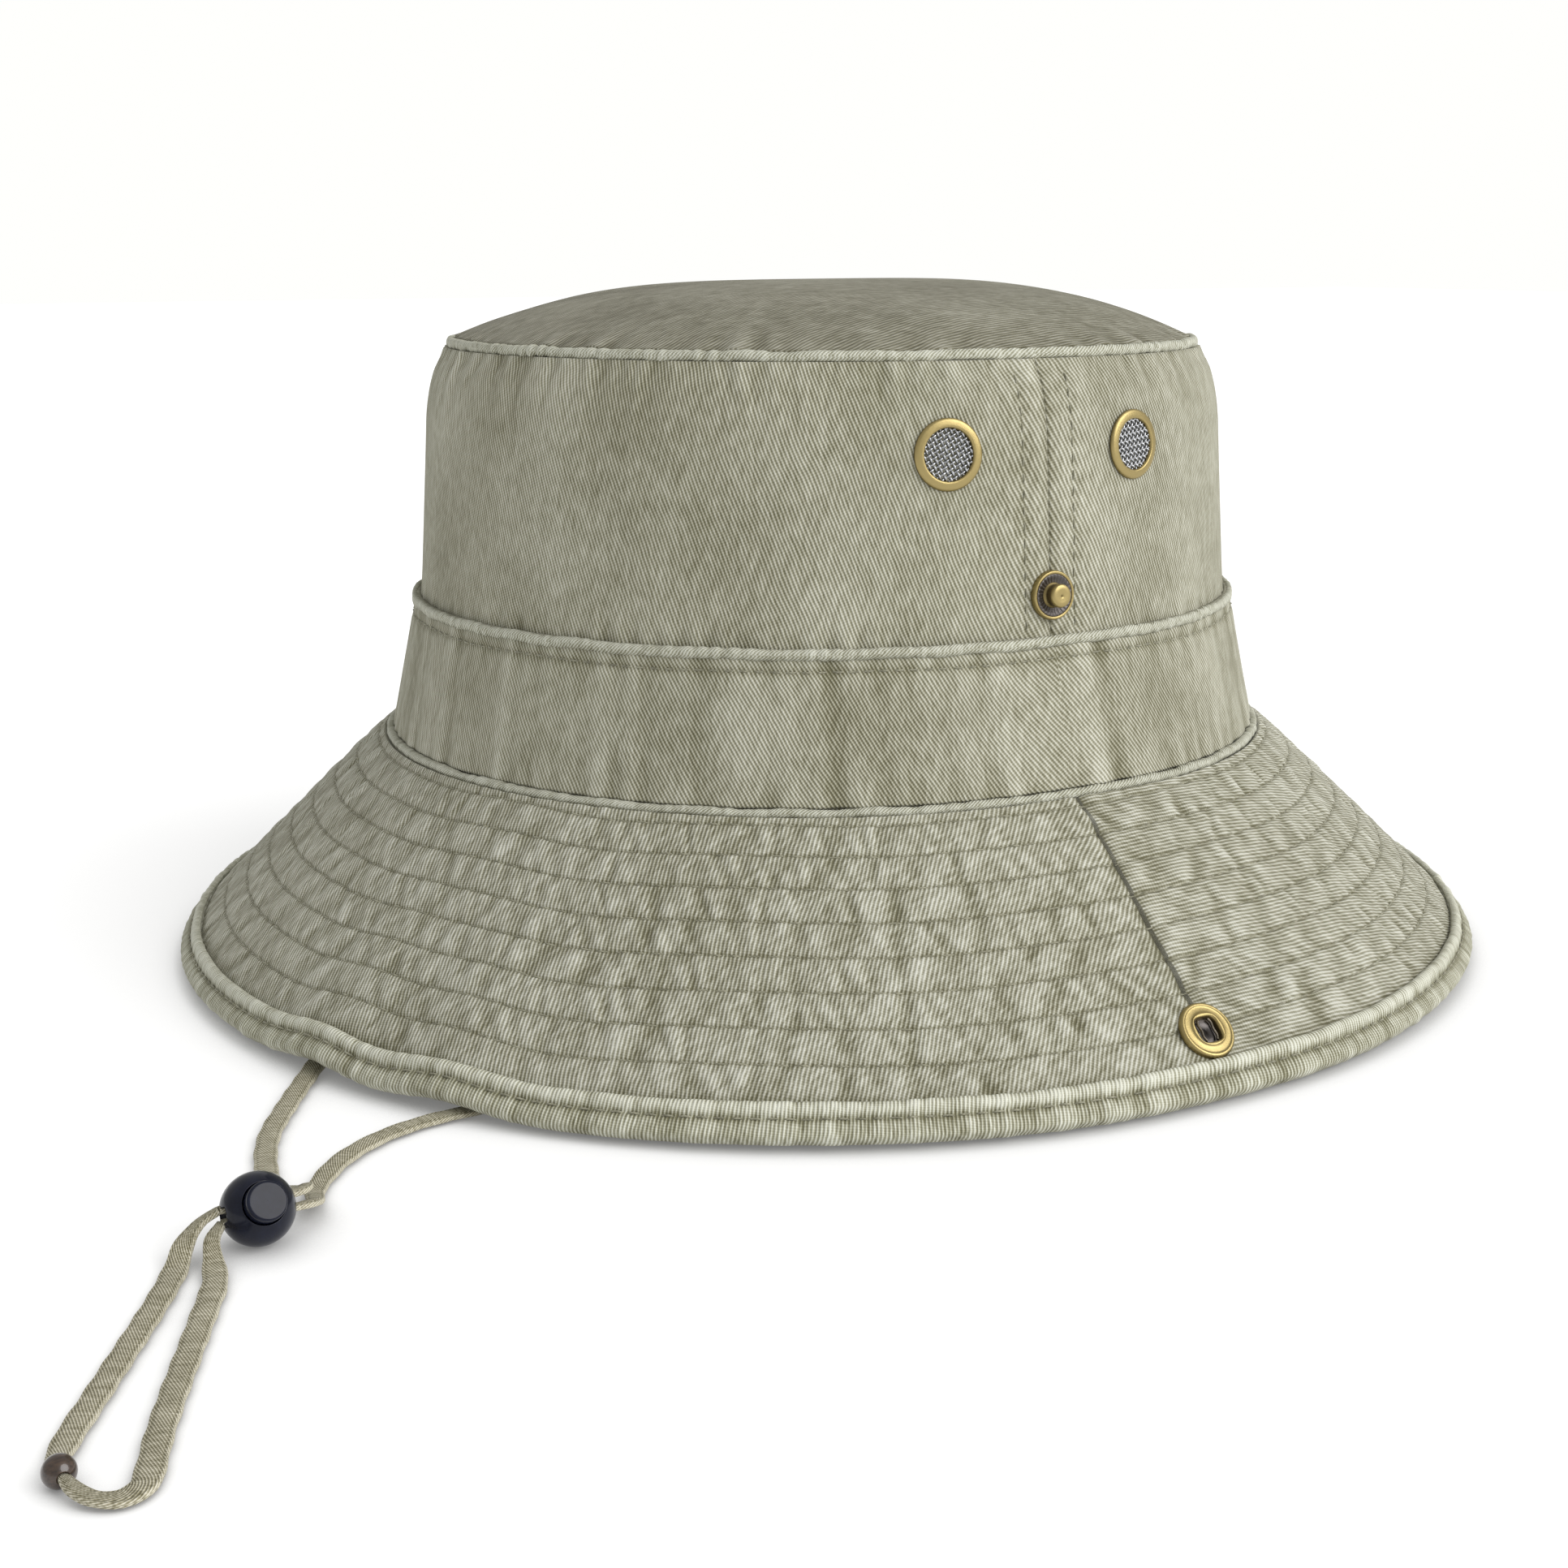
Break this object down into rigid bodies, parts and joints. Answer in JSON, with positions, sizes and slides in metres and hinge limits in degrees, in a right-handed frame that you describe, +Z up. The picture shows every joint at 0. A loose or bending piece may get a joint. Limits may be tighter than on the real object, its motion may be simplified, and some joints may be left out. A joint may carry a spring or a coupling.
{
  "type": "boonie hat",
  "caption": "Soft cotton bucket-crown sun hat with a stitched sloping brim that snaps up at the sides, mesh vent eyelets and a chin cord with a ball lock.",
  "frame": {"origin": "on the floor under the middle of the crown, with the hat standing on its brim edge", "axes": "+Z up, -Y is the wearer's front, +X is the wearer's left side with a snap and two vents"},
  "size_m": [0.3211, 0.3673, 0.1474],
  "materials": {
    "washed_twill": "washed cotton twill, khaki olive",
    "under_twill": "washed cotton twill",
    "inner_twill": "plain cotton tape",
    "interlining": "plain white interlining",
    "cord_tape": "narrow folded twill tape",
    "antique_brass": "antique, rubbed bright at the edges",
    "mesh_wire": "fine woven wire",
    "spring_wire": "dark spring wire",
    "lock_plastic": "glossy blue-black",
    "bead_wood": "dark stained, lacquered"
  },
  "bodies": {
    "hat": {"crown_top_panel": "washed_twill", "crown_top_welt": "washed_twill", "crown_side_front": "washed_twill", "crown_side_rear": "washed_twill", "crown_seam_tape": "inner_twill", "side_seam_tapes": "inner_twill", "hat_band": "washed_twill", "base_welt": "washed_twill", "sweatband": "inner_twill", "brim_upper_front": "washed_twill", "brim_upper_rear": "washed_twill", "brim_interlining": "interlining", "brim_under_front": "under_twill", "brim_under_rear": "under_twill", "brim_binding": "washed_twill", "vent_rings": "antique_brass", "vent_meshes": "mesh_wire", "vent_washers": "antique_brass", "snap_studs": "antique_brass", "stud_backs": "antique_brass", "cord_anchor_tabs": "cord_tape", "chin_cord_left": "cord_tape", "chin_cord_right": "cord_tape", "chin_cord_loop": "cord_tape", "cord_bead": "bead_wood"},
    "left_flap": {"left_flap_upper": "washed_twill", "left_flap_interlining": "interlining", "left_flap_under": "under_twill", "left_flap_binding": "washed_twill", "left_snap_socket": "antique_brass", "left_socket_spring": "spring_wire", "left_socket_cap": "antique_brass"},
    "right_flap": {"right_flap_upper": "washed_twill", "right_flap_interlining": "interlining", "right_flap_under": "under_twill", "right_flap_binding": "washed_twill", "right_snap_socket": "antique_brass", "right_socket_spring": "spring_wire", "right_socket_cap": "antique_brass"},
    "cord_lock": {"cord_lock_body": "lock_plastic", "cord_lock_spring": "spring_wire"},
    "lock_button": {"cord_lock_button": "lock_plastic"}
  },
  "joints": [
    {"name": "left_brim_fold", "type": "hinge", "parent": "hat", "child": "left_flap", "pos_m": [0.10318, 0, 0.04392], "axis": [0, -1, 0], "range_deg": [0, 144]},
    {"name": "right_brim_fold", "type": "hinge", "parent": "hat", "child": "right_flap", "pos_m": [-0.10318, 0, 0.04392], "axis": [0, 1, 0], "range_deg": [0, 144]},
    {"name": "cord_lock_slide", "type": "slide", "parent": "hat", "child": "cord_lock", "axis": [0.78, -0.6258, 0], "range_m": [0, 0.04], "deforming": ["chin_cord_left", "chin_cord_right", "chin_cord_loop"]},
    {"name": "lock_button_press", "type": "slide", "parent": "cord_lock", "child": "lock_button", "axis": [-0.848, 0, -0.53], "range_m": [0, 0.0016], "stiffness_N_per_m": 400, "springref_m": -0.001, "deforming": ["cord_lock_spring"]}
  ]
}
